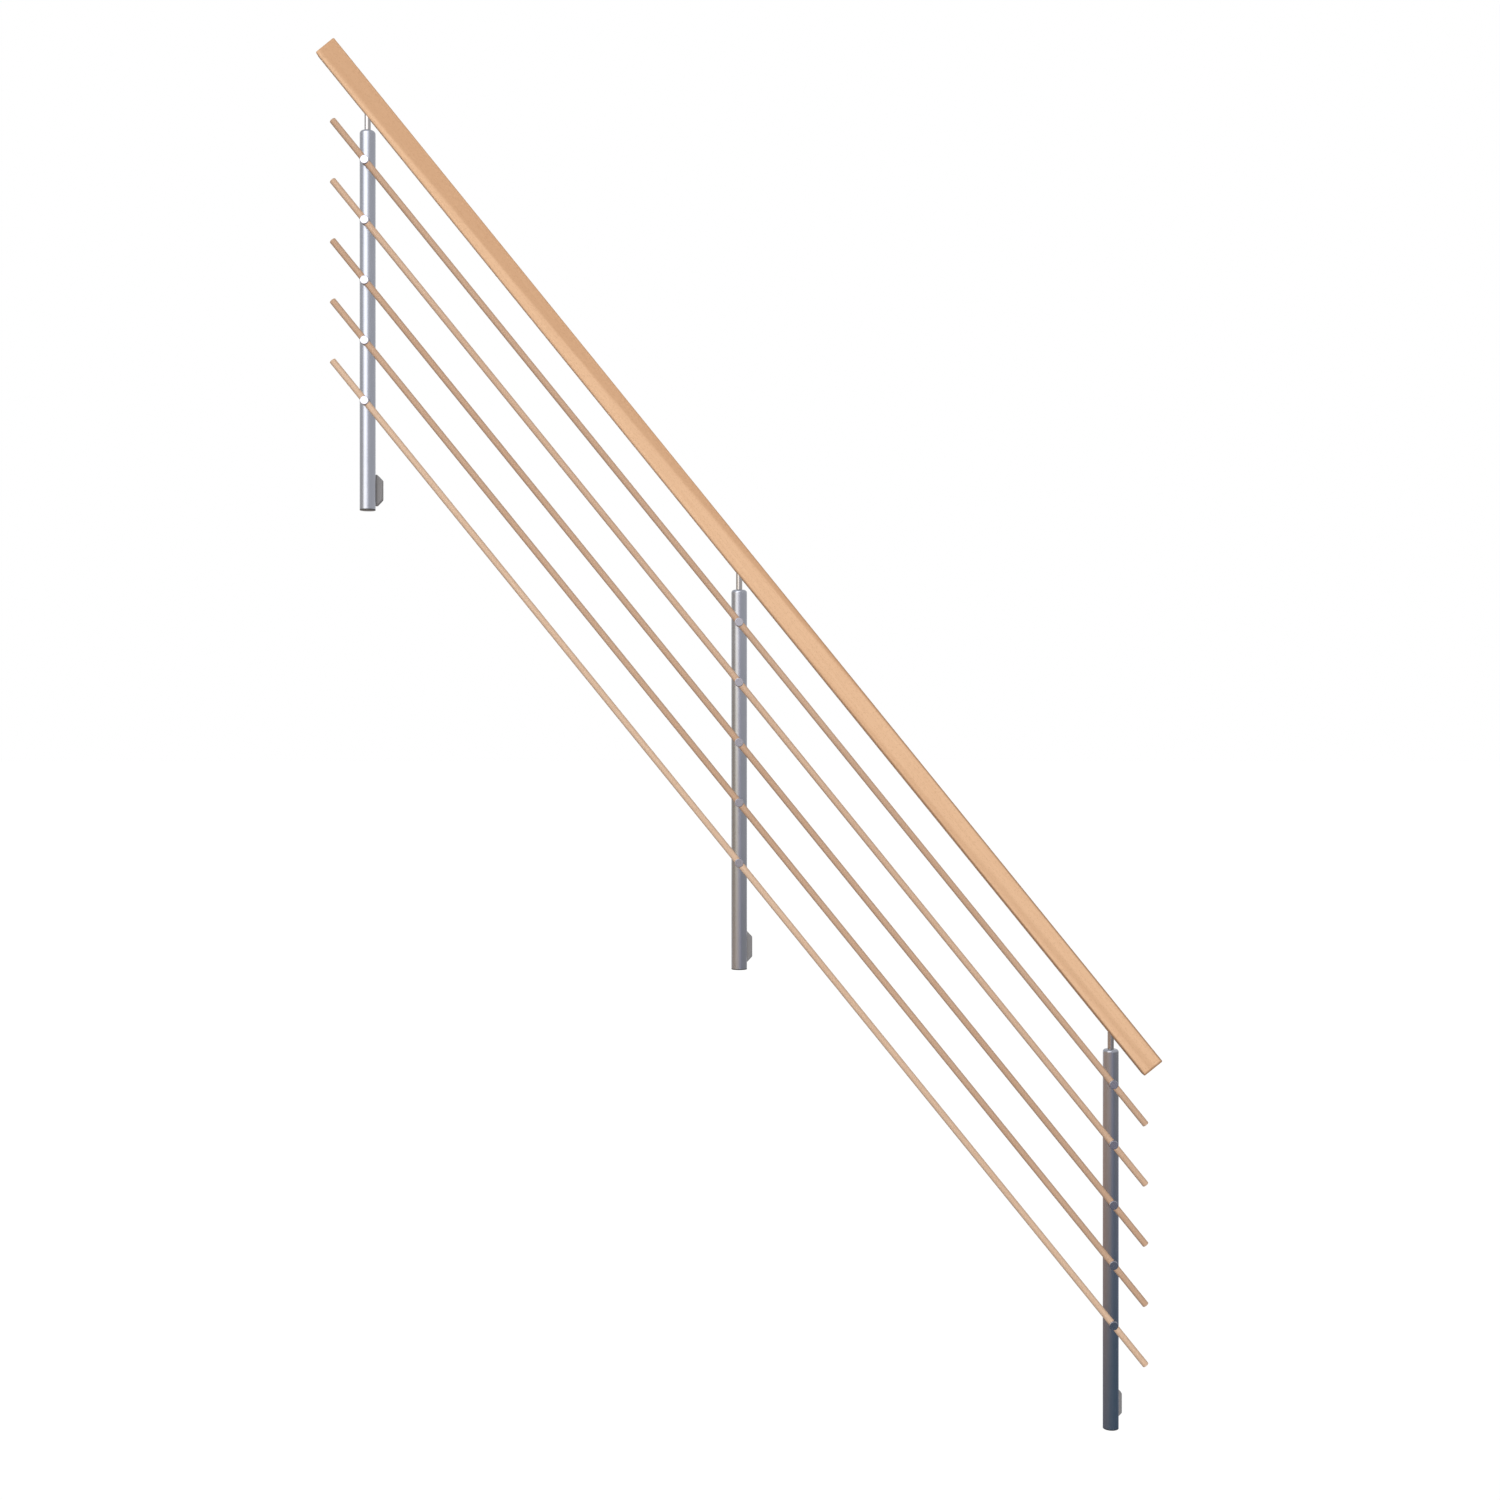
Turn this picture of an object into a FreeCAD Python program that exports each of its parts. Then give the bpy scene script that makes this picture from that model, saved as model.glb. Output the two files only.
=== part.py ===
"""Sloping stair balustrade panel, in millimetres.

Three upright aluminium tubes stand beside a stair string, each on a moulded side bracket.
Each tube carries a row of rod holders on its room side and a turned cap with a steel pin on top.
Five round beech rods run through the holders, parallel to the stair, and a rectangular beech
handrail sits on the pins.

Frame: +X runs downhill along the panel, +Y points into the string and +Z is up.
The origin is on the lowest bracket's back face, straight behind that post's axis.
"""

import FreeCAD
import Part
import math
import os

# Stair and spacing
SLOPE = 51.0  # degrees from the horizontal
POST_NAMES = ("lower", "middle", "upper")
BAY = 950.0  # between post axes, level

# Post tube
POST_DIAMETER = 40.0
POST_WALL = 2.0
POST_STANDOFF = 34.0  # post axis to the string's face
TUBE_LENGTH = 957.5

# Turned cap on the tube's upper end
CAP_HEIGHT = 10.0
CAP_SHOULDER = 7.5  # radius of the rounded shoulder
SPIGOT_CLEARANCE = 0.1  # on the radius, of caps and plugs inside the tube
CAP_SPIGOT = 18.0  # length inside the tube

# Moulded plug in the tube's lower end
PLUG_RIM = 2.5
PLUG_EDGE = 1.0
PLUG_SPIGOT = 14.0
PLUG_WALL = 3.0

# Pin between cap and handrail
PIN_DIAMETER = 16.0
PIN_STUD_DIAMETER = 10.0
PIN_STUD_LENGTH = 14.0
PIN_CLEARANCE = 0.1  # on the radius, in the cap and in the handrail
PIN_CHAMFER = 1.0
RAIL_GAP = 35.5  # cap to the handrail's underside, on the post axis
PIN_ENGAGEMENT = 30.0  # pin inside the handrail, on the post axis

# Handrail
RAIL_WIDTH = 40.0
RAIL_DEPTH = 59.5  # square to the slope
RAIL_EDGE = 5.0
RAIL_END_EDGE = 1.5
RAIL_OVERHANG = 168.0  # past the outer post axes, along the slope

# Infill rods
ROD_COUNT = 5
ROD_DIAMETER = 17.0
FIRST_ROD = 274.0  # post foot to the lowest rod, on the post axis
LAST_ROD = 85.0  # highest rod to the cap's top, on the post axis
ROD_OVERHANG = 132.0  # past the outer post axes, along the slope
ROD_CHAMFER = 0.8

# Rod holders
ROD_POST_GAP = 2.0  # rod to post tube
HOLDER_DIAMETER = 22.0
HOLDER_FACE = 3.5  # metal in front of the rod
HOLDER_EDGE = 1.2
HOLDER_STUD_DIAMETER = 8.0
HOLDER_STUD_LENGTH = 4.0  # inside the tube
ROD_CLEARANCE = 0.1  # on the radius, in the holder
SEAT_CLEARANCE = 0.05  # between a saddle and the tube
STUD_CLEARANCE = 0.1
SET_SCREW_HOLE = 5.0  # below the rod, square to it

# Side bracket
BRACKET_RISE = 55.0  # post foot to the bracket's middle
FOOT_THICKNESS = 12.0
FOOT_HEIGHT = 80.0
FOOT_TIP_HEIGHT = 50.0
FOOT_SHORT_SIDE = 12.0  # uphill of the post axis
FOOT_SHOULDER = 19.5  # downhill, where the foot starts to narrow
FOOT_REACH = 33.5  # downhill, to the foot's tip
FOOT_CORNER = 5.0
FOOT_BEVEL = 2.0
SADDLE_HEIGHT = 50.0
SADDLE_REACH = 16.0  # downhill of the post axis
SADDLE_LIP = 8.0  # saddle's front edge, behind the post axis
BOLT_HOLE = 9.0
BOLT_PITCH = 36.0

# Values that follow
POST_RADIUS = POST_DIAMETER / 2
TUBE_BORE = POST_RADIUS - POST_WALL
SPIGOT_RADIUS = TUBE_BORE - SPIGOT_CLEARANCE
POST_Y = -POST_STANDOFF
POST_FOOT = -BRACKET_RISE
TUBE_FOOT = POST_FOOT + PLUG_RIM
TUBE_TOP = TUBE_FOOT + TUBE_LENGTH
CAP_TOP = TUBE_TOP + CAP_HEIGHT
ROD_RADIUS = ROD_DIAMETER / 2
ROD_STANDOFF = POST_RADIUS + ROD_POST_GAP + ROD_RADIUS
HOLDER_REACH = ROD_STANDOFF + ROD_RADIUS + HOLDER_FACE
ROD_PITCH = (CAP_TOP - LAST_ROD - POST_FOOT - FIRST_ROD) / (ROD_COUNT - 1)  # upright
ROD_HEIGHTS = [POST_FOOT + FIRST_ROD + ROD_PITCH * k for k in range(ROD_COUNT)]
RAIL_UNDERSIDE = CAP_TOP + RAIL_GAP
RAIL_CENTRE = RAIL_UNDERSIDE + RAIL_DEPTH / 2 / math.cos(math.radians(SLOPE))
POST_PITCH = BAY / math.cos(math.radians(SLOPE))  # along the slope
PANEL_LENGTH = POST_PITCH * (len(POST_NAMES) - 1)

UP = FreeCAD.Vector(0, 0, 1)
OUT = FreeCAD.Vector(0, -1, 0)  # away from the string
INTO_STRING = FreeCAD.Vector(0, 1, 0)
CENTRE = FreeCAD.Vector(0, 0, 0)
LEVEL = 1e-4


def post_place(number):
    """Foot-to-foot shift from the lowest post to another, up the slope."""
    run = BAY * number
    return FreeCAD.Vector(-run, 0, run * math.tan(math.radians(SLOPE)))


def rod_cylinder(radius, downhill, uphill):
    """A round bar along the slope through the centre, from uphill to downhill."""
    start = FreeCAD.Vector(-uphill, 0, 0)
    return Part.makeCylinder(radius, uphill + downhill, start, FreeCAD.Vector(1, 0, 0))


def tilt(shape):
    """Turns a shape that lies along X onto the stair's slope."""
    turned = shape.copy()
    turned.rotate(CENTRE, FreeCAD.Vector(0, 1, 0), SLOPE)
    return turned


def moved(shape, *shifts):
    """A copy of the shape, moved by the sum of the shifts."""
    total = FreeCAD.Vector(0, 0, 0)
    for shift in shifts:
        total = total.add(shift)
    copy = shape.copy()
    copy.translate(total)
    return copy


def flat_edges(shape, axis, value):
    """The edges that lie wholly in the plane where the axis has this value."""
    low, high = axis + "Min", axis + "Max"
    return [
        e
        for e in shape.Edges
        if abs(getattr(e.BoundBox, low) - value) < LEVEL and abs(getattr(e.BoundBox, high) - value) < LEVEL
    ]


def lengthwise_edges(shape, length):
    """The straight edges along X that run the whole length."""
    return [e for e in shape.Edges if abs(e.BoundBox.XLength - length) < LEVEL]


def upright_cylinder(radius, bottom, top):
    """A cylinder on the Z axis between two heights."""
    return Part.makeCylinder(radius, top - bottom, FreeCAD.Vector(0, 0, bottom), UP)


def post_tube():
    """The tube on the Z axis, drilled for the holders' studs in front and the fixing bolts behind."""
    tube = upright_cylinder(POST_RADIUS, TUBE_FOOT, TUBE_TOP)
    tube = tube.cut(upright_cylinder(TUBE_BORE, TUBE_FOOT, TUBE_TOP))
    for height in ROD_HEIGHTS:
        stud_hole = HOLDER_STUD_DIAMETER / 2 + STUD_CLEARANCE
        tube = tube.cut(Part.makeCylinder(stud_hole, POST_DIAMETER, FreeCAD.Vector(0, 0, height), OUT))
    for side in (-1, 1):
        start = FreeCAD.Vector(0, 0, side * BOLT_PITCH / 2)
        tube = tube.cut(Part.makeCylinder(BOLT_HOLE / 2, POST_DIAMETER, start, INTO_STRING))
    return tube


def post_cap():
    """A turned cap with a rounded shoulder, a spigot in the tube and a socket for the pin's stud."""
    head = upright_cylinder(POST_RADIUS, TUBE_TOP, CAP_TOP)
    head = head.makeFillet(min(CAP_SHOULDER, CAP_HEIGHT - LEVEL), flat_edges(head, "Z", CAP_TOP))
    cap = head.fuse(upright_cylinder(SPIGOT_RADIUS, TUBE_TOP - CAP_SPIGOT, TUBE_TOP))
    socket = upright_cylinder(PIN_STUD_DIAMETER / 2 + PIN_CLEARANCE, CAP_TOP - PIN_STUD_LENGTH, CAP_TOP)
    return cap.cut(socket).removeSplitter()


def end_plug():
    """A moulded plug: a rim under the tube and a hollow spigot inside it."""
    rim = upright_cylinder(POST_RADIUS, POST_FOOT, TUBE_FOOT)
    rim = rim.makeFillet(PLUG_EDGE, flat_edges(rim, "Z", POST_FOOT))
    spigot = upright_cylinder(SPIGOT_RADIUS, TUBE_FOOT, TUBE_FOOT + PLUG_SPIGOT)
    hollow = upright_cylinder(SPIGOT_RADIUS - PLUG_WALL, TUBE_FOOT, TUBE_FOOT + PLUG_SPIGOT)
    return rim.fuse(spigot.cut(hollow)).removeSplitter()


def handrail_pin():
    """A steel pin with a stud in the cap below and a plain end in the handrail above."""
    top = RAIL_UNDERSIDE + PIN_ENGAGEMENT
    body = upright_cylinder(PIN_DIAMETER / 2, CAP_TOP, top)
    body = body.makeChamfer(PIN_CHAMFER, flat_edges(body, "Z", top))
    stud = upright_cylinder(PIN_STUD_DIAMETER / 2, CAP_TOP - PIN_STUD_LENGTH, CAP_TOP)
    return body.fuse(stud).removeSplitter()


def handrail():
    """A planed beech rail with eased edges, bored upright from below for each pin."""
    length = PANEL_LENGTH + 2 * RAIL_OVERHANG
    corner = FreeCAD.Vector(-PANEL_LENGTH - RAIL_OVERHANG, -RAIL_WIDTH / 2, -RAIL_DEPTH / 2)
    rail = Part.makeBox(length, RAIL_WIDTH, RAIL_DEPTH, corner)
    rail = rail.makeFillet(RAIL_EDGE, lengthwise_edges(rail, length))
    for end in (corner.x, corner.x + length):
        rail = rail.makeFillet(RAIL_END_EDGE, flat_edges(rail, "X", end))
    rail = moved(tilt(rail), FreeCAD.Vector(0, POST_Y, RAIL_CENTRE))
    bore = upright_cylinder(PIN_DIAMETER / 2 + PIN_CLEARANCE, CAP_TOP, RAIL_UNDERSIDE + PIN_ENGAGEMENT)
    for number in range(len(POST_NAMES)):
        rail = rail.cut(moved(bore, FreeCAD.Vector(0, POST_Y, 0), post_place(number)))
    return rail


def rod():
    """A beech dowel along the slope, with eased ends."""
    dowel = rod_cylinder(ROD_RADIUS, ROD_OVERHANG, PANEL_LENGTH + ROD_OVERHANG)
    ends = flat_edges(dowel, "X", ROD_OVERHANG) + flat_edges(dowel, "X", -PANEL_LENGTH - ROD_OVERHANG)
    return tilt(dowel.makeChamfer(ROD_CHAMFER, ends))


def rod_holder():
    """A turned holder about the point where a rod crosses its post: hollowed to sit on the tube,
    bored through for the rod on the stair's slope, drilled from below for the set screw that grips
    the rod, and carried by a stud through the tube's wall."""
    body = Part.makeCylinder(HOLDER_DIAMETER / 2, HOLDER_REACH, CENTRE, OUT)
    body = body.makeFillet(HOLDER_EDGE, flat_edges(body, "Y", -HOLDER_REACH))
    seat = upright_cylinder(POST_RADIUS + SEAT_CLEARANCE, -HOLDER_DIAMETER, HOLDER_DIAMETER)
    body = body.cut(seat)
    stud_start = FreeCAD.Vector(0, -TUBE_BORE + HOLDER_STUD_LENGTH, 0)
    stud_length = POST_WALL + HOLDER_STUD_LENGTH + ROD_POST_GAP
    body = body.fuse(Part.makeCylinder(HOLDER_STUD_DIAMETER / 2, stud_length, stud_start, OUT))
    bore = tilt(rod_cylinder(ROD_RADIUS + ROD_CLEARANCE, HOLDER_DIAMETER, HOLDER_DIAMETER))
    screw_hole = tilt(upright_cylinder(SET_SCREW_HOLE / 2, -HOLDER_DIAMETER, 0))
    for hole in (bore, screw_hole):
        body = body.cut(moved(hole, FreeCAD.Vector(0, -ROD_STANDOFF, 0)))
    return body.removeSplitter()


def side_bracket():
    """A moulded bracket: a foot flat on the string, narrowing to a tip downhill of the post, and a
    saddle that the tube beds into. The fixing bolts pass through both into the tube's back wall."""
    outline = [
        (-FOOT_SHORT_SIDE, FOOT_HEIGHT / 2),
        (FOOT_SHOULDER, FOOT_HEIGHT / 2),
        (FOOT_REACH, FOOT_TIP_HEIGHT / 2),
        (FOOT_REACH, -FOOT_TIP_HEIGHT / 2),
        (FOOT_SHOULDER, -FOOT_HEIGHT / 2),
        (-FOOT_SHORT_SIDE, -FOOT_HEIGHT / 2),
    ]
    points = [FreeCAD.Vector(x, 0, z) for x, z in outline]
    foot = Part.Face(Part.makePolygon(points + points[:1])).extrude(OUT * FOOT_THICKNESS)
    corners = [e for e in foot.Edges if abs(e.BoundBox.YLength - FOOT_THICKNESS) < LEVEL]
    foot = foot.makeFillet(FOOT_CORNER, corners)
    foot = foot.makeChamfer(FOOT_BEVEL, flat_edges(foot, "Y", -FOOT_THICKNESS))
    saddle = Part.makeBox(
        FOOT_SHORT_SIDE + SADDLE_REACH,
        POST_STANDOFF - SADDLE_LIP,
        SADDLE_HEIGHT,
        FreeCAD.Vector(-FOOT_SHORT_SIDE, POST_Y + SADDLE_LIP, -SADDLE_HEIGHT / 2),
    )
    seat = upright_cylinder(POST_RADIUS + SEAT_CLEARANCE, -FOOT_HEIGHT, FOOT_HEIGHT)
    bracket = foot.fuse(saddle).cut(moved(seat, FreeCAD.Vector(0, POST_Y, 0)))
    for side in (-1, 1):
        start = FreeCAD.Vector(0, POST_Y, side * BOLT_PITCH / 2)
        bracket = bracket.cut(Part.makeCylinder(BOLT_HOLE / 2, POST_STANDOFF, start, INTO_STRING))
    return bracket.removeSplitter()


def save(shape, name):
    """Writes one piece, after a test that it is one closed solid."""
    solids = shape.Solids
    if len(solids) != 1 or not shape.isValid():
        raise ValueError(f"{name} has {len(solids)} solids, valid {shape.isValid()}")
    solids[0].exportStep(os.path.join("parts", name + ".step"))


def main():
    os.makedirs("parts", exist_ok=True)
    post_axis = FreeCAD.Vector(0, POST_Y, 0)
    save(handrail(), "handrail")

    dowel = rod()
    for number, height in enumerate(ROD_HEIGHTS, 1):
        place = FreeCAD.Vector(0, POST_Y - ROD_STANDOFF, height)
        save(moved(dowel, place), f"rod_{number}")

    on_the_post = {
        "post_tube": post_tube(),
        "post_cap": post_cap(),
        "end_plug": end_plug(),
        "handrail_pin": handrail_pin(),
    }
    bracket = side_bracket()
    holder = rod_holder()
    for number, post in enumerate(POST_NAMES):
        foot = post_place(number)
        for name, piece in on_the_post.items():
            save(moved(piece, post_axis, foot), f"{post}_{name}")
        save(moved(bracket, foot), f"{post}_side_bracket")
        for row, height in enumerate(ROD_HEIGHTS, 1):
            save(moved(holder, post_axis, foot, FreeCAD.Vector(0, 0, height)), f"{post}_rod_holder_{row}")


main()
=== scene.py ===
import math

import bmesh
import bpy
from mathutils import Matrix, Vector


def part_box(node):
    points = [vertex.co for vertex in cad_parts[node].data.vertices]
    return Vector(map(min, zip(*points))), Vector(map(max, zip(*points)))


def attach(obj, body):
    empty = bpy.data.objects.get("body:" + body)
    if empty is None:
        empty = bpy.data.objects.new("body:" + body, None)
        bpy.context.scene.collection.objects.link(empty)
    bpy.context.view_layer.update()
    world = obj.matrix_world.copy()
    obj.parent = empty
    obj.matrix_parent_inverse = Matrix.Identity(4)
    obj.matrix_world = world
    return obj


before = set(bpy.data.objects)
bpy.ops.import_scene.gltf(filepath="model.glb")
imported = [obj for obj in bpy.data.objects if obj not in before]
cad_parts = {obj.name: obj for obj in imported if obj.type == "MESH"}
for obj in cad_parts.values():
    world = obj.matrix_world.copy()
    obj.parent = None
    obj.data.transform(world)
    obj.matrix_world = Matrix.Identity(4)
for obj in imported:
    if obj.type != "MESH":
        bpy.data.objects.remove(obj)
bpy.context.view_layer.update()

bpy.context.scene.view_settings.view_transform = "Standard"


# Post tubes: drawn aluminium tube, 40 mm across with a 2 mm wall, cut square and satin anodised.
# One stands upright behind each column of rod holders, and bolts hold it to its bracket.

POSTS = ("lower", "middle", "upper")
MM = 0.001


def linear(code):
    """An sRGB hex colour as the linear colour that shaders take."""
    parts = [int(code[i : i + 2], 16) / 255 for i in (1, 3, 5)]
    return tuple(p / 12.92 if p <= 0.04045 else ((p + 0.055) / 1.055) ** 2.4 for p in parts) + (1.0,)


def add(tree, kind, settings=None, inputs=None):
    """Adds a shader node with its settings, values and links, and returns its outputs."""
    made = tree.nodes.new("ShaderNode" + kind)
    for name, value in (settings or {}).items():
        setattr(made, name, value)
    for name, value in (inputs or {}).items():
        if isinstance(value, bpy.types.NodeSocket):
            tree.links.new(value, made.inputs[name])
        else:
            made.inputs[name].default_value = value
    return made.outputs


def new_finish(name):
    """An empty material: its node tree, ready for a shader."""
    finish = bpy.data.materials.new(name)
    finish.use_nodes = True
    finish.node_tree.nodes.clear()
    return finish


def dress(finish, shader, nodes):
    """Ends a material with its shader and puts it on these CAD nodes."""
    add(finish.node_tree, "OutputMaterial", {}, {"Surface": shader})
    for name in nodes:
        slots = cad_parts[name].data.materials
        slots.clear()
        slots.append(finish)


# Satin anodised aluminium is a grey metal that blurs what it reflects into soft upright streaks.
# Pulling it through a die leaves lengthwise lines about 0.3 mm apart: they are made 1.5 mm apart here
# so that they show.
anodised_aluminium = new_finish("satin_anodised_aluminium")
tree = anodised_aluminium.node_tree
place = add(tree, "TexCoord")["Object"]
drawn = add(
    tree,
    "Mapping",
    {},
    {"Vector": place, "Scale": (1 / (1.5 * MM), 1 / (1.5 * MM), 1 / (300 * MM))},
)[0]
lines = add(tree, "TexNoise", {}, {"Vector": drawn, "Scale": 1.0, "Detail": 3.0, "Roughness": 0.6})[0]
cloud = add(tree, "TexNoise", {}, {"Vector": place, "Scale": 1 / (60 * MM), "Detail": 2.0})[0]
tone = add(tree, "Mix", {"data_type": "RGBA"}, {0: cloud, 6: linear("#90939C"), 7: linear("#999BA4")})[2]
gloss = add(tree, "MapRange", {}, {0: lines, 1: 0.3, 2: 0.7, 3: 0.28, 4: 0.33})[0]
metal = add(tree, "BsdfPrincipled", {}, {"Base Color": tone, "Metallic": 1.0, "Roughness": gloss})[0]
dress(anodised_aluminium, metal, [f"{post}_post_tube" for post in POSTS])


# End plugs: one in each tube's lower end, moulded from black polyethylene, with a thin rim that
# stops against the tube and a spigot pressed up inside it.

# Polyethylene is a soft, waxy black that never quite shines; the mould leaves a fine even grain.
black_polyethylene = new_finish("black_polyethylene")
tree = black_polyethylene.node_tree
place = add(tree, "TexCoord")["Object"]
grain = add(tree, "TexNoise", {}, {"Vector": place, "Scale": 1 / (0.8 * MM), "Detail": 2.0})[0]
tone = add(tree, "Mix", {"data_type": "RGBA"}, {0: grain, 6: linear("#17181A"), 7: linear("#26272A")})[2]
relief = add(tree, "Bump", {}, {"Strength": 0.2, "Distance": 0.1 * MM, "Height": grain})[0]
plastic = add(
    tree,
    "BsdfPrincipled",
    {},
    {"Base Color": tone, "Roughness": 0.48, "IOR": 1.51, "Normal": relief},
)[0]
dress(black_polyethylene, plastic, [f"{post}_end_plug" for post in POSTS])


# Side brackets: moulded in one piece from grey glass-filled nylon. The saddle takes the tube's back
# and the foot lies flat on the stair string, where two bolts pass through it.

# Glass-filled nylon is a dead, slightly mottled grey with a fine spark-eroded mould grain, about
# 0.4 mm across: it is made 1 mm across here so that it shows.
grey_nylon = new_finish("grey_glass_filled_nylon")
tree = grey_nylon.node_tree
place = add(tree, "TexCoord")["Object"]
grain = add(tree, "TexNoise", {}, {"Vector": place, "Scale": 1 / (1.0 * MM), "Detail": 3.0})[0]
flow = add(
    tree,
    "TexNoise",
    {},
    {"Vector": place, "Scale": 1 / (25 * MM), "Detail": 2.0, "Distortion": 1.5},
)[0]
tone = add(tree, "Mix", {"data_type": "RGBA"}, {0: flow, 6: linear("#7F7D7E"), 7: linear("#8A8888")})[2]
relief = add(tree, "Bump", {}, {"Strength": 0.03, "Distance": 0.1 * MM, "Height": grain})[0]
plastic = add(
    tree,
    "BsdfPrincipled",
    {},
    {"Base Color": tone, "Roughness": 0.62, "IOR": 1.53, "Normal": relief},
)[0]
dress(grey_nylon, plastic, [f"{post}_side_bracket" for post in POSTS])


# Rod holders: short steel stubs turned from bar, cross-bored on the stair's slope and nickel plated.
# Each sits on its tube with a hollowed end, on a stud through the wall.

ROWS = (1, 2, 3, 4, 5)
HOLDER_WIDTH = 22 * MM

# Satin nickel is a plain grey mirror, softened by the turning marks that ring the face about 0.2 mm
# apart: they are made 0.8 mm apart here so that they show.
satin_nickel = new_finish("satin_nickel_plate")
tree = satin_nickel.node_tree
spot = add(tree, "TexCoord")["Generated"]
face = add(tree, "Mapping", {}, {"Vector": spot, "Location": (-0.5, 0, -0.5), "Scale": (1, 0, 1)})[0]
radius = add(tree, "VectorMath", {"operation": "LENGTH"}, {0: face})[1]
rings = add(
    tree,
    "TexNoise",
    {"noise_dimensions": "1D"},
    {"W": radius, "Scale": HOLDER_WIDTH / (0.8 * MM), "Detail": 2.0},
)[0]
gloss = add(tree, "MapRange", {}, {0: rings, 1: 0.3, 2: 0.7, 3: 0.18, 4: 0.30})[0]
tone = add(tree, "Mix", {"data_type": "RGBA"}, {0: rings, 6: linear("#93929A"), 7: linear("#9E9DA4")})[2]
relief = add(tree, "Bump", {}, {"Strength": 0.08, "Distance": 0.05 * MM, "Height": rings})[0]
metal = add(
    tree,
    "BsdfPrincipled",
    {},
    {"Base Color": tone, "Metallic": 1.0, "Roughness": gloss, "Normal": relief},
)[0]
dress(satin_nickel, metal, [f"{post}_rod_holder_{row}" for post in POSTS for row in ROWS])


# Rods: five beech dowels, 17 mm across, that slide through the holders parallel to the stair and
# run on past the outer posts to plain eased ends.

SLOPE = math.radians(51)
DOWNHILL = Vector((math.cos(SLOPE), 0, -math.sin(SLOPE)))
ACROSS = Vector((math.sin(SLOPE), 0, math.cos(SLOPE)))
ROD_TONES = (0.05, 0.85, 0.95, 0.5, 0.85)  # 0 is the pale shade and 1 the dark one, lowest rod first
TONE_REACH = 20 * MM  # how far a rod's own tone reaches from its axis


def beech(name, pale, dark, figure):
    """Lacquered steamed beech, sawn along the slope; figure draws the plank's slow bands and the
    painted shade on its edges.

    Beech is an even pinkish tan. Fine growth lines run with the grain, and rays cut across them in
    short brown flecks, 0.4 by 3 mm: they are made 1.6 by 9 mm here so that they show. Cut ends are a
    browner tan with faint rings round the tree's heart. The lacquer leaves a low, broad sheen, and
    the edges that figure marks get a painted brown shade.
    """
    finish = new_finish(name)
    tree = finish.node_tree
    place = add(tree, "TexCoord")["Object"]
    plank = add(tree, "Mapping", {}, {"Vector": place, "Rotation": (0, -SLOPE, 0)})[0]
    band, painted_edge_shade = figure(tree, plank)
    tone = add(tree, "Mix", {"data_type": "RGBA"}, {0: band, 6: linear(pale), 7: linear(dark)})[2]

    sawn = add(
        tree,
        "Mapping",
        {},
        {"Vector": plank, "Scale": (1 / (260 * MM), 1 / (5 * MM), 1 / (5 * MM))},
    )[0]
    growth = add(tree, "TexNoise", {}, {"Vector": sawn, "Scale": 1.0, "Detail": 4.0, "Roughness": 0.6})[0]
    shade = add(tree, "MapRange", {}, {0: growth, 1: 0.3, 2: 0.75, 3: 0.0, 4: 0.24})[0]
    tone = add(tree, "Mix", {"data_type": "RGBA"}, {0: shade, 6: tone, 7: linear("#C4926B")})[2]

    split = add(
        tree,
        "Mapping",
        {},
        {"Vector": plank, "Scale": (1 / (9 * MM), 1 / (1.6 * MM), 1 / (1.6 * MM))},
    )[0]
    cells = add(tree, "TexVoronoi", {}, {"Vector": split, "Scale": 1.0, "Randomness": 1.0})[0]
    fleck = add(tree, "MapRange", {}, {0: cells, 1: 0.16, 2: 0.34, 3: 0.36, 4: 0.0})[0]
    tone = add(tree, "Mix", {"data_type": "RGBA"}, {0: fleck, 6: tone, 7: linear("#A97A55")})[2]
    # Painted shade: the edges that figure marks are browned.
    tone = add(tree, "Mix", {"data_type": "RGBA"}, {0: painted_edge_shade, 6: tone, 7: linear("#8A664B")})[2]

    facing = add(tree, "NewGeometry")["Normal"]
    along = add(tree, "VectorMath", {"operation": "DOT_PRODUCT"}, {0: facing, 1: DOWNHILL})[1]
    cut = add(tree, "Math", {"operation": "ABSOLUTE"}, {0: along})[0]
    cut = add(tree, "MapRange", {}, {0: cut, 1: 0.75, 2: 0.95})[0]
    from_heart = (0, 70 * MM, -500 * MM)  # sets the wood to one side of the tree's heart
    section = add(tree, "Mapping", {}, {"Vector": plank, "Location": from_heart, "Scale": (0, 1, 1)})[0]
    radius = add(tree, "VectorMath", {"operation": "LENGTH"}, {0: section})[1]
    ring = add(
        tree,
        "TexNoise",
        {"noise_dimensions": "1D"},
        {"W": radius, "Scale": 1 / (2.5 * MM), "Detail": 2.0},
    )[0]
    end_tone = add(
        tree,
        "Mix",
        {"data_type": "RGBA"},
        {0: ring, 6: linear("#D2A67F"), 7: linear("#B5875F")},
    )[2]
    tone = add(tree, "Mix", {"data_type": "RGBA"}, {0: cut, 6: tone, 7: end_tone})[2]

    gloss = add(tree, "MapRange", {}, {0: growth, 1: 0.3, 2: 0.7, 3: 0.54, 4: 0.64})[0]
    relief = add(tree, "Bump", {}, {"Strength": 0.12, "Distance": 0.1 * MM, "Height": growth})[0]
    wood = add(
        tree,
        "BsdfPrincipled",
        {},
        {"Base Color": tone, "Roughness": gloss, "IOR": 1.5, "Specular IOR Level": 0.2, "Normal": relief},
    )[0]
    return finish, wood


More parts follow.
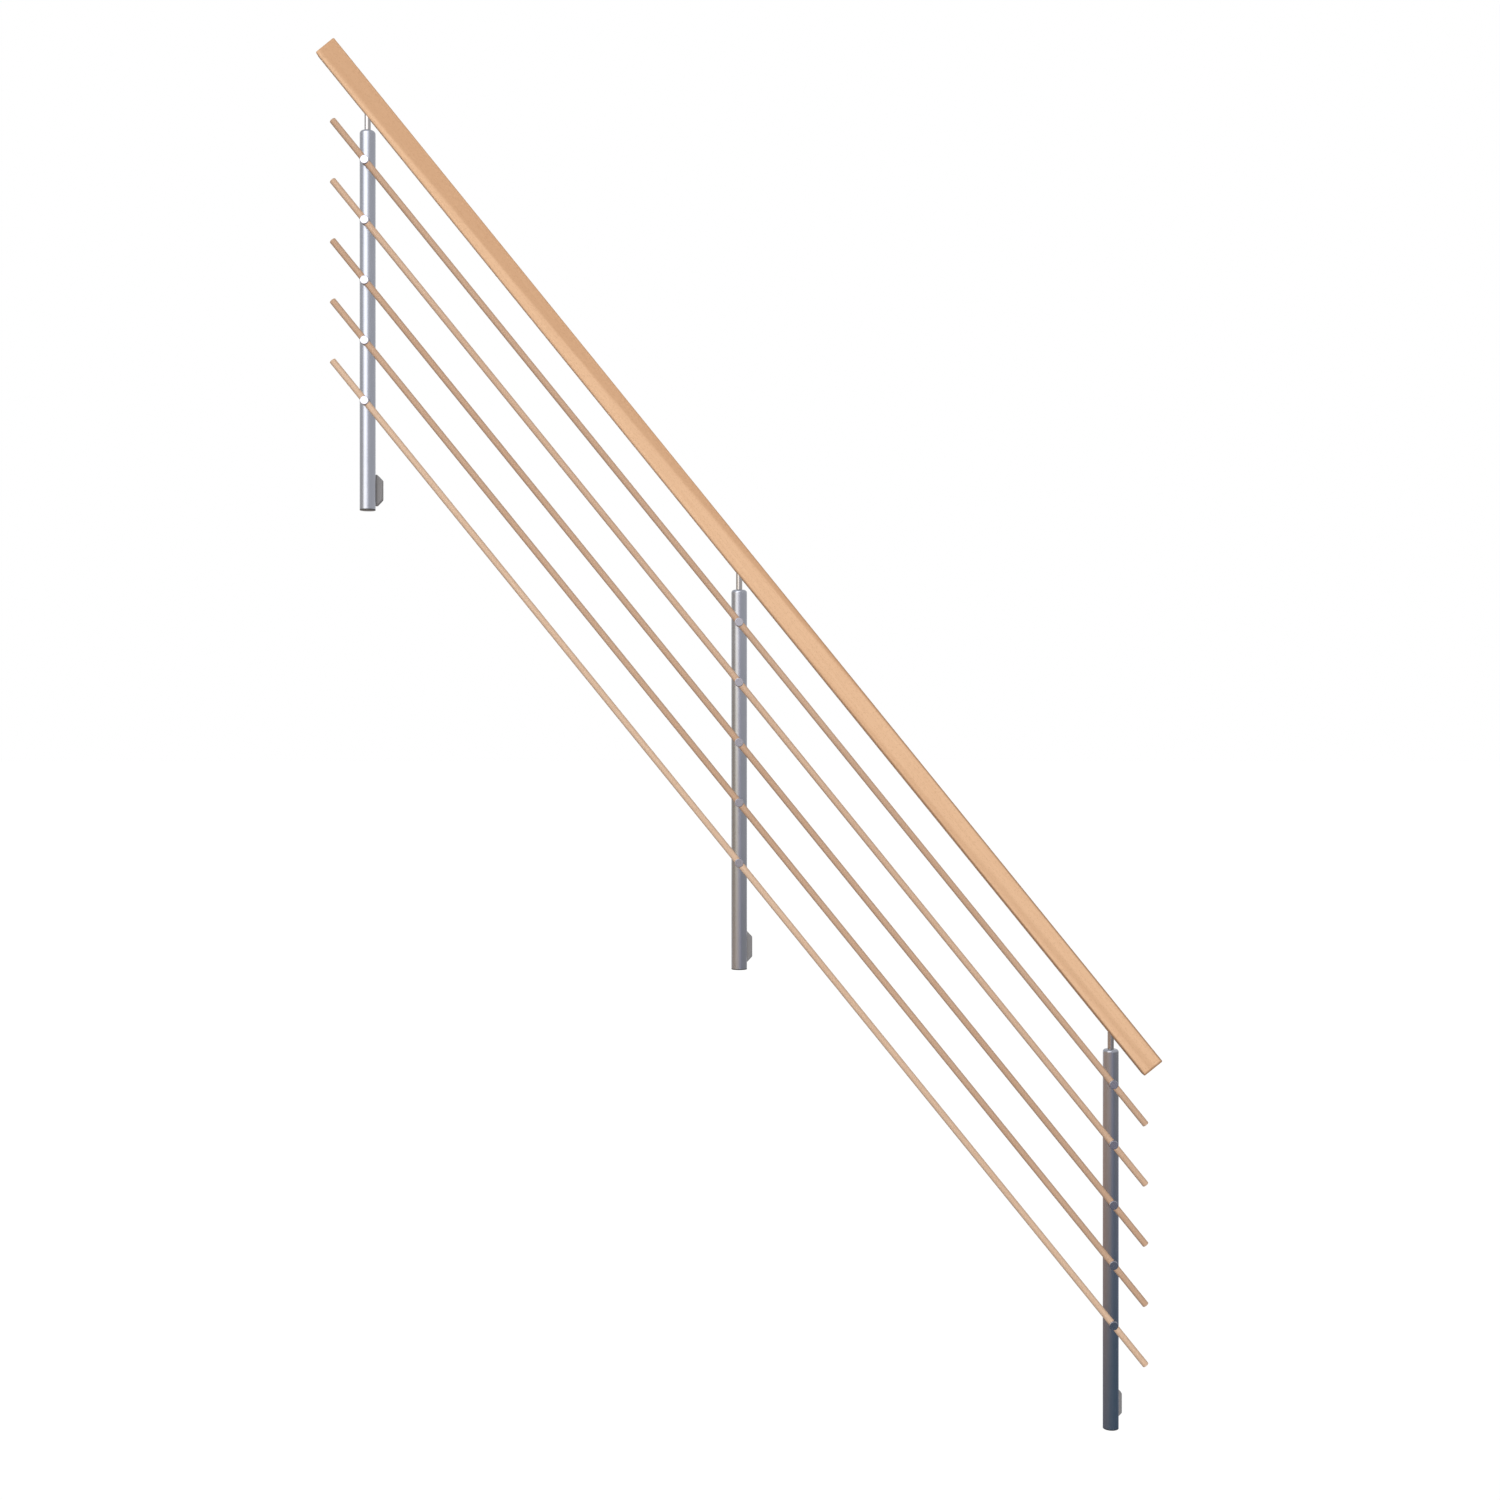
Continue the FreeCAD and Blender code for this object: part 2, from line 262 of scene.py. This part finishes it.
def dowel_figure(tree, plank):
    """Each dowel comes from a plank of its own tone, the lowest the palest, and drifts softly along it.
    It has no painted edge shade."""
    height = add(tree, "SeparateXYZ", {}, {0: plank})["Z"]
    tone = 0.5
    for row, shade in zip(ROWS, ROD_TONES):
        low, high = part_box(f"rod_{row}")
        own = ACROSS.dot(low + high) / 2
        near = add(tree, "Math", {"operation": "COMPARE"}, {0: height, 1: own, 2: TONE_REACH})[0]
        tone = add(tree, "Mix", {}, {0: near, 2: tone, 3: shade})[0]
    drift = add(
        tree,
        "Mapping",
        {},
        {"Vector": plank, "Scale": (1 / (450 * MM), 1 / (40 * MM), 1 / (40 * MM))},
    )[0]
    drift = add(tree, "TexNoise", {}, {"Vector": drift, "Scale": 1.0, "Detail": 2.0})[0]
    drift = add(tree, "MapRange", {}, {0: drift, 1: 0.3, 2: 0.7, 3: -0.15, 4: 0.15})[0]
    # No painted edge shade on the dowels.
    return add(tree, "Math", {"operation": "ADD", "use_clamp": True}, {0: tone, 1: drift})[0], 0.0


# The photograph's satin metal mirrors its lights but not the wood, so the rods, and the handrail
# below, stay out of reflections.
for row in ROWS:
    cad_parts[f"rod_{row}"].visible_glossy = False
dress(*beech("lacquered_beech_dowel", "#DCBEA4", "#C2A289", dowel_figure), [f"rod_{row}" for row in ROWS])


# Set screws: M5 with a hexagon socket, one in the underside of each holder, square to the rod that
# it grips. The socket's rim stays just inside the holder's round surface.

SCREW_RADIUS = 2.4 * MM
SCREW_LENGTH = 2.1 * MM
SOCKET = 1.25 * MM  # centre to flat
SOCKET_FLOOR = 0.7 * MM  # above the screw's tip
SCREW_SEAT = 8.55 * MM  # from the rod's axis to the screw's tip, just clear of the rod
STEPS = 24  # round the screw
screw_mesh = bpy.data.meshes.new("set_screw")
shape = bmesh.new()
loops = []
# Loops from the tip up and down into the socket: radius, height, and the number of sides of a flat-sided one.
for radius, height, sides in (
    (1.9 * MM, 0.0, 0),
    (SCREW_RADIUS, 0.4 * MM, 0),
    (SCREW_RADIUS, 1.7 * MM, 0),
    (2.0 * MM, SCREW_LENGTH, 0),
    (SOCKET, SCREW_LENGTH, 6),
    (SOCKET, SOCKET_FLOOR, 6),
):
    loop = []
    for step in range(STEPS):
        turn = math.tau * step / STEPS
        out = radius
        if sides:
            half = math.pi / sides
            out = radius / math.cos((turn + half) % (2 * half) - half)
        loop.append(shape.verts.new((out * math.cos(turn), out * math.sin(turn), height)))
    loops.append(loop)
for lower, upper in zip(loops, loops[1:]):
    for step in range(STEPS):
        after = (step + 1) % STEPS
        shape.faces.new((lower[step], lower[after], upper[after], upper[step]))
shape.faces.new(list(reversed(loops[0])))
shape.faces.new(loops[-1])
shape.to_mesh(screw_mesh)
shape.free()

# Blackened steel is a near-black metal with a dull oily gleam.
black_steel = new_finish("blackened_steel")
tree = black_steel.node_tree
place = add(tree, "TexCoord")["Object"]
patch = add(tree, "TexNoise", {}, {"Vector": place, "Scale": 1 / (1.5 * MM), "Detail": 2.0})[0]
tone = add(tree, "Mix", {"data_type": "RGBA"}, {0: patch, 6: linear("#2A2A2C"), 7: linear("#3A3A3C")})[2]
metal = add(tree, "BsdfPrincipled", {}, {"Base Color": tone, "Metallic": 1.0, "Roughness": 0.42})[0]
add(tree, "OutputMaterial", {}, {"Surface": metal})
screw_mesh.materials.append(black_steel)

UNDER = -ACROSS
for post in POSTS:
    for row in ROWS:
        low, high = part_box(f"{post}_rod_holder_{row}")
        rod_low, rod_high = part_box(f"rod_{row}")
        bore = (low + high) / 2
        bore.y = (rod_low.y + rod_high.y) / 2
        seat = bore + UNDER * SCREW_SEAT
        screw = bpy.data.objects.new(f"{post}_set_screw_{row}", screw_mesh)
        screw.matrix_world = Matrix.Translation(seat) @ UNDER.to_track_quat("Z", "Y").to_matrix().to_4x4()
        bpy.context.scene.collection.objects.link(screw)
        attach(screw, "root")


# Post caps: turned aluminium, one pushed into each tube's upper end. The shoulder is rounded over
# and the middle is bored for the pin's stud.

CAP_WIDTH = 40 * MM

# The same anodising as the tube, over turning marks that ring the cap about 0.2 mm apart: they are made
# 1 mm apart here so that they show.
turned_aluminium = new_finish("turned_anodised_aluminium")
tree = turned_aluminium.node_tree
spot = add(tree, "TexCoord")["Generated"]
face = add(tree, "Mapping", {}, {"Vector": spot, "Location": (-0.5, -0.5, 0), "Scale": (1, 1, 0)})[0]
radius = add(tree, "VectorMath", {"operation": "LENGTH"}, {0: face})[1]
rings = add(
    tree,
    "TexNoise",
    {"noise_dimensions": "1D"},
    {"W": radius, "Scale": CAP_WIDTH / (1.0 * MM), "Detail": 2.0},
)[0]
tone = add(tree, "Mix", {"data_type": "RGBA"}, {0: rings, 6: linear("#90939C"), 7: linear("#9B9DA6")})[2]
gloss = add(tree, "MapRange", {}, {0: rings, 1: 0.3, 2: 0.7, 3: 0.20, 4: 0.30})[0]
relief = add(tree, "Bump", {}, {"Strength": 0.06, "Distance": 0.05 * MM, "Height": rings})[0]
metal = add(
    tree,
    "BsdfPrincipled",
    {},
    {"Base Color": tone, "Metallic": 1.0, "Roughness": gloss, "Normal": relief},
)[0]
dress(turned_aluminium, metal, [f"{post}_post_cap" for post in POSTS])


# Handrail pins: ground stainless bar, 16 mm across, screwed into each cap by a stud and let into the
# handrail's underside.

# Ground stainless steel is shinier and a little warmer than the aluminium. Grinding leaves fine rings
# round it, about 0.1 mm apart: they are made 0.6 mm apart here so that they show.
ground_stainless = new_finish("ground_stainless_steel")
tree = ground_stainless.node_tree
place = add(tree, "TexCoord")["Object"]
ground = add(
    tree,
    "Mapping",
    {},
    {"Vector": place, "Scale": (1 / (80 * MM), 1 / (80 * MM), 1 / (0.6 * MM))},
)[0]
rings = add(tree, "TexNoise", {}, {"Vector": ground, "Scale": 1.0, "Detail": 2.0})[0]
tone = add(tree, "Mix", {"data_type": "RGBA"}, {0: rings, 6: linear("#938F8F"), 7: linear("#9F9C9B")})[2]
gloss = add(tree, "MapRange", {}, {0: rings, 1: 0.3, 2: 0.7, 3: 0.16, 4: 0.26})[0]
relief = add(tree, "Bump", {}, {"Strength": 0.05, "Distance": 0.05 * MM, "Height": rings})[0]
metal = add(
    tree,
    "BsdfPrincipled",
    {},
    {"Base Color": tone, "Metallic": 1.0, "Roughness": gloss, "Normal": relief},
)[0]
dress(ground_stainless, metal, [f"{post}_handrail_pin" for post in POSTS])


# Handrail: one plank of beech, 59.5 by 40 mm, planed with eased edges and cut square at its ends. The
# three pins are let into its underside.

RAIL_WIDTH = 40 * MM
RAIL_DEPTH = 59.5 * MM
BAND_LEAN = math.tan(math.radians(1.16))
BAND_START = Vector((-2.952, 0, 0.6312))  # on the dark band's edge, along the plank and across it
BAND_WANDER = 8 * MM
STREAK_DROP = 49 * MM  # from the dark band's edge to the faint one's middle
# Painted shade on the handrail's eased edges and end rims, darker towards the lower end.
EDGE_SHADE_WIDTH = 6 * MM  # where the painted edge shade starts, in from an edge
EDGE_SHADE_FULL = 2 * MM  # where the painted edge shade is darkest
EDGE_SHADE_TOP, EDGE_SHADE_FOOT = -2.8, -1.1  # along the plank, from edges without painted shade to fully shaded ones
EDGE_SHADE_STRENGTH = 0.75


def plank_figure(tree, plank):
    """The plank's slow bands: they lean about 1.2 degrees across it, so a dark one leaves by the upper
    edge halfway down and a faint one rises from the lower edge. Painted shade darkens the eased edges
    and the rims of the ends, more towards the lower end."""
    axes = add(tree, "SeparateXYZ", {}, {0: plank})
    wander = add(
        tree,
        "Mapping",
        {},
        {"Vector": plank, "Scale": (1 / (500 * MM), 1 / (30 * MM), 1 / (30 * MM))},
    )[0]
    wander = add(tree, "TexNoise", {}, {"Vector": wander, "Scale": 1.0, "Detail": 2.0})[0]
    across = add(tree, "Math", {"operation": "MULTIPLY_ADD"}, {0: axes["X"], 1: -BAND_LEAN, 2: axes["Z"]})[0]
    across = add(tree, "Math", {"operation": "MULTIPLY_ADD"}, {0: wander, 1: BAND_WANDER, 2: across})[0]
    start = BAND_START.z - BAND_START.x * BAND_LEAN
    dark = add(
        tree,
        "MapRange",
        {"interpolation_type": "SMOOTHSTEP"},
        {0: across, 1: start - 4 * MM, 2: start + 5 * MM},
    )[0]
    streak = add(tree, "Math", {"operation": "SUBTRACT"}, {0: across, 1: start - STREAK_DROP})[0]
    streak = add(tree, "Math", {"operation": "ABSOLUTE"}, {0: streak})[0]
    streak = add(
        tree,
        "MapRange",
        {"interpolation_type": "SMOOTHSTEP"},
        {0: streak, 1: 2 * MM, 2: 13 * MM, 3: 0.5, 4: 0.0},
    )[0]
    band = add(tree, "Math", {"operation": "MAXIMUM"}, {0: dark, 1: streak})[0]

    low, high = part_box("handrail")
    centre = (low + high) / 2
    length = (high.x - low.x - RAIL_DEPTH * math.sin(SLOPE)) / math.cos(SLOPE)
    near = {}
    for axis, middle, size in (
        ("X", DOWNHILL.dot(centre), length),
        ("Y", centre.y, RAIL_WIDTH),
        ("Z", ACROSS.dot(centre), RAIL_DEPTH),
    ):
        off = add(tree, "Math", {"operation": "SUBTRACT"}, {0: axes[axis], 1: middle})[0]
        off = add(tree, "Math", {"operation": "ABSOLUTE"}, {0: off})[0]
        clear, full = size / 2 - EDGE_SHADE_WIDTH, size / 2 - EDGE_SHADE_FULL
        near[axis] = add(tree, "MapRange", {}, {0: off, 1: clear, 2: full})[0]
    long_edge = add(tree, "Math", {"operation": "MINIMUM"}, {0: near["Y"], 1: near["Z"]})[0]
    rim = add(tree, "Math", {"operation": "MAXIMUM"}, {0: near["Y"], 1: near["Z"]})[0]
    rim = add(tree, "Math", {"operation": "MINIMUM"}, {0: near["X"], 1: rim})[0]
    edge = add(tree, "Math", {"operation": "MAXIMUM"}, {0: long_edge, 1: rim})[0]
    # The painted edge shade grows towards the plank's lower end.
    run = add(
        tree,
        "MapRange",
        {"interpolation_type": "SMOOTHSTEP"},
        {0: axes["X"], 1: EDGE_SHADE_TOP, 2: EDGE_SHADE_FOOT, 4: EDGE_SHADE_STRENGTH},
    )[0]
    return band, add(tree, "Math", {"operation": "MULTIPLY"}, {0: edge, 1: run})[0]


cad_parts["handrail"].visible_glossy = False
dress(*beech("lacquered_beech_plank", "#E7BE99", "#D0A682", plank_figure), ["handrail"])


# The place it is shown in: a pale floor below the panel's foot under an even white sky, with a soft sun
# in front and a weaker one behind. Only reflections show the rest: a tall soft light in front on the left,
# and glowing sheets that paint reflections: a dark one on the floor by the lowest post, a warm one on the
# left and a grey one on the right.

FLOOR = -0.30


def direct(tree):
    """1 for what the camera sees, straight or in a mirror, and 0 for light that spreads from matt faces."""
    ray = add(tree, "LightPath")
    seen = add(tree, "Math", {"operation": "MAXIMUM"}, {0: ray["Is Camera Ray"], 1: ray["Is Glossy Ray"]})[0]
    return add(tree, "Math", {"operation": "MAXIMUM"}, {0: seen, 1: ray["Is Transmission Ray"]})[0]


sky = bpy.data.worlds.new("white_sky")
bpy.context.scene.world = sky
sky.use_nodes = True
tree = sky.node_tree
tree.nodes.clear()
side = add(tree, "SeparateXYZ", {}, {0: add(tree, "TexCoord")["Generated"]})["Y"]
ambient = add(tree, "MapRange", {}, {0: side, 1: 0.0, 2: 1.0, 3: 0.25, 4: 0.65})[0]
level = add(tree, "MapRange", {}, {0: direct(tree), 3: ambient, 4: 1.0})[0]
light = add(tree, "Background", {}, {"Color": linear("#FFFFFF"), "Strength": level})[0]
add(tree, "OutputWorld", {}, {"Surface": light})


def card(name, corners):
    """One flat sheet of the stage, with an empty material to finish."""
    mesh = bpy.data.meshes.new(name)
    mesh.from_pydata(corners, [], [(0, 1, 2, 3)])
    sheet = bpy.data.objects.new(name, mesh)
    bpy.context.scene.collection.objects.link(sheet)
    finish = new_finish(name)
    finish.cycles.emission_sampling = "NONE"  # rays find these wide sheets anyway, with less speckle
    mesh.materials.append(finish)
    return sheet, finish.node_tree


FAR = 300.0
tree = card(
    "pale_floor",
    [(-FAR, -FAR, FLOOR), (FAR, -FAR, FLOOR), (FAR, FAR, FLOOR), (-FAR, FAR, FLOOR)],
)[1]
share = add(tree, "Math", {"operation": "MULTIPLY"}, {0: direct(tree), 1: 0.9})[0]
matt = add(tree, "BsdfDiffuse", {}, {"Color": linear("#D0D0D0")})[0]
white = add(tree, "Emission", {}, {"Color": linear("#FFFFFF"), "Strength": 1.10})[0]
surface = add(tree, "MixShader", {}, {0: share, 1: matt, 2: white})[0]
add(tree, "OutputMaterial", {}, {"Surface": surface})

# A glowing sheet on the floor, seen only in reflections, paints a dark reflection into the metal: slate by
# the lowest post, paling outwards, warm on the left and cool on the right.
DARK_SHEET_HEIGHT = FLOOR + 2 * MM
DARK_SHEET_MIDDLE = (0.75, -1.0, FLOOR)
dark_reflection_sheet, tree = card("painted_dark_reflection", [(-9, -9, DARK_SHEET_HEIGHT), (8, -9, DARK_SHEET_HEIGHT), (8, 5, DARK_SHEET_HEIGHT), (-9, 5, DARK_SHEET_HEIGHT)])
place = add(tree, "TexCoord")["Object"]
side = add(tree, "SeparateXYZ", {}, {0: place})["X"]
side = add(tree, "MapRange", {"interpolation_type": "SMOOTHSTEP"}, {0: side, 1: -2.4, 2: 2.0})[0]
tone = add(tree, "Mix", {"data_type": "RGBA"}, {0: side, 6: linear("#F4CDB2"), 7: linear("#BDBDD4")})[2]
away = add(tree, "VectorMath", {"operation": "DISTANCE"}, {0: place, 1: DARK_SHEET_MIDDLE})[1]
fade = add(tree, "MapRange", {}, {0: away, 1: 1.0, 2: 5.0})[0]
tone = add(tree, "Mix", {"data_type": "RGBA"}, {0: fade, 6: linear("#647C8E"), 7: tone})[2]
glow = add(tree, "Emission", {}, {"Color": tone, "Strength": 1.0})[0]
add(tree, "OutputMaterial", {}, {"Surface": glow})

# Each screen glows and is seen only in reflections, a painted reflection that whitens upwards between two
# heights.
screens = []
for name, x, low, high, foot in (
    ("warm_reflection_screen", -12, 2.2, 4.0, "#D8C5A6"),
    ("grey_reflection_screen", 3.5, FLOOR, 2.4, "#A29F9C"),
):
    screen, tree = card(name, [(x, -9, FLOOR), (x, 8, FLOOR), (x, 8, high), (x, -9, high)])
    height = add(tree, "SeparateXYZ", {}, {0: add(tree, "TexCoord")["Object"]})["Z"]
    fade = add(tree, "MapRange", {}, {0: height, 1: low, 2: high})[0]
    tone = add(tree, "Mix", {"data_type": "RGBA"}, {0: fade, 6: linear(foot), 7: linear("#FFFFFF")})[2]
    glow = add(tree, "Emission", {}, {"Color": tone, "Strength": 1.0})[0]
    add(tree, "OutputMaterial", {}, {"Surface": glow})
    screens.append(screen)

# The soft light swells from its left end, dies away along a slant on the right, and is brighter and
# whiter higher up.
LIGHT_Y = -4.7
LEFT, RIGHT, LOW, HIGH = -11, 1.4, 0.8, 7
soft_light, tree = card(
    "soft_light",
    [(LEFT, LIGHT_Y, LOW), (RIGHT, LIGHT_Y, LOW), (RIGHT, LIGHT_Y, HIGH), (LEFT, LIGHT_Y, HIGH)],
)
axes = add(tree, "SeparateXYZ", {}, {0: add(tree, "TexCoord")["Object"]})
rise = add(tree, "MapRange", {"interpolation_type": "SMOOTHSTEP"}, {0: axes["X"], 1: LEFT, 2: -3.9})[0]
slant = add(tree, "Math", {"operation": "MULTIPLY_ADD"}, {0: axes["Z"], 1: -0.5, 2: axes["X"]})[0]
fall = add(tree, "MapRange", {"interpolation_type": "SMOOTHSTEP"}, {0: slant, 1: -0.75, 2: -5.35})[0]
lift = add(tree, "MapRange", {}, {0: axes["Z"], 1: 0.95, 2: 2.9, 3: 0.0, 4: 3.0})[0]
bright = add(tree, "Math", {"operation": "MULTIPLY"}, {0: rise, 1: fall})[0]
bright = add(tree, "Math", {"operation": "MULTIPLY_ADD"}, {0: bright, 1: lift, 2: 1.0})[0]
side = add(tree, "MapRange", {}, {0: axes["X"], 1: -6.0, 2: 0.5})[0]
tint = add(tree, "Mix", {"data_type": "RGBA"}, {0: side, 6: linear("#FFF0C4"), 7: linear("#E6E4F4")})[2]
warm = add(tree, "MapRange", {}, {0: axes["Z"], 1: 1.6, 2: 3.4})[0]
tone = add(tree, "Mix", {"data_type": "RGBA"}, {0: warm, 6: tint, 7: linear("#FFFFFF")})[2]
glow = add(tree, "Emission", {}, {"Color": tone, "Strength": bright})[0]
add(tree, "OutputMaterial", {}, {"Surface": glow})

for mirrored in (dark_reflection_sheet, *screens, soft_light):
    mirrored.visible_camera = False
    mirrored.visible_diffuse = False
    mirrored.visible_transmission = False
    mirrored.visible_shadow = False

for name, energy, heading in (
    ("frontal_light", 3.45, (-0.10, 1.0, -0.06)),
    ("rear_light", 1.8, (0.0, -1.0, -0.05)),
):
    lamp = bpy.data.lights.new(name, "SUN")
    lamp.energy = energy
    lamp.angle = math.radians(25)
    light = bpy.data.objects.new(name, lamp)
    bpy.context.scene.collection.objects.link(light)
    light.rotation_euler = Vector(heading).to_track_quat("-Z", "Y").to_euler()
    light.visible_glossy = False

# The photograph's view: square on to the panel, 4.63 m from the posts' axes, at about mid height.
VIEW_WIDTH = math.radians(45)
camera_data = bpy.data.cameras.new("camera")
camera_data.sensor_width = 36.0
camera_data.lens = camera_data.sensor_width / 2 / math.tan(VIEW_WIDTH / 2)
camera_data.clip_end = 2 * FAR
camera = bpy.data.objects.new("camera", camera_data)
bpy.context.scene.collection.objects.link(camera)
camera.location = (-0.9223, -4.664, 1.6787)
camera.rotation_euler = (math.radians(90), 0, 0)
bpy.context.scene.camera = camera
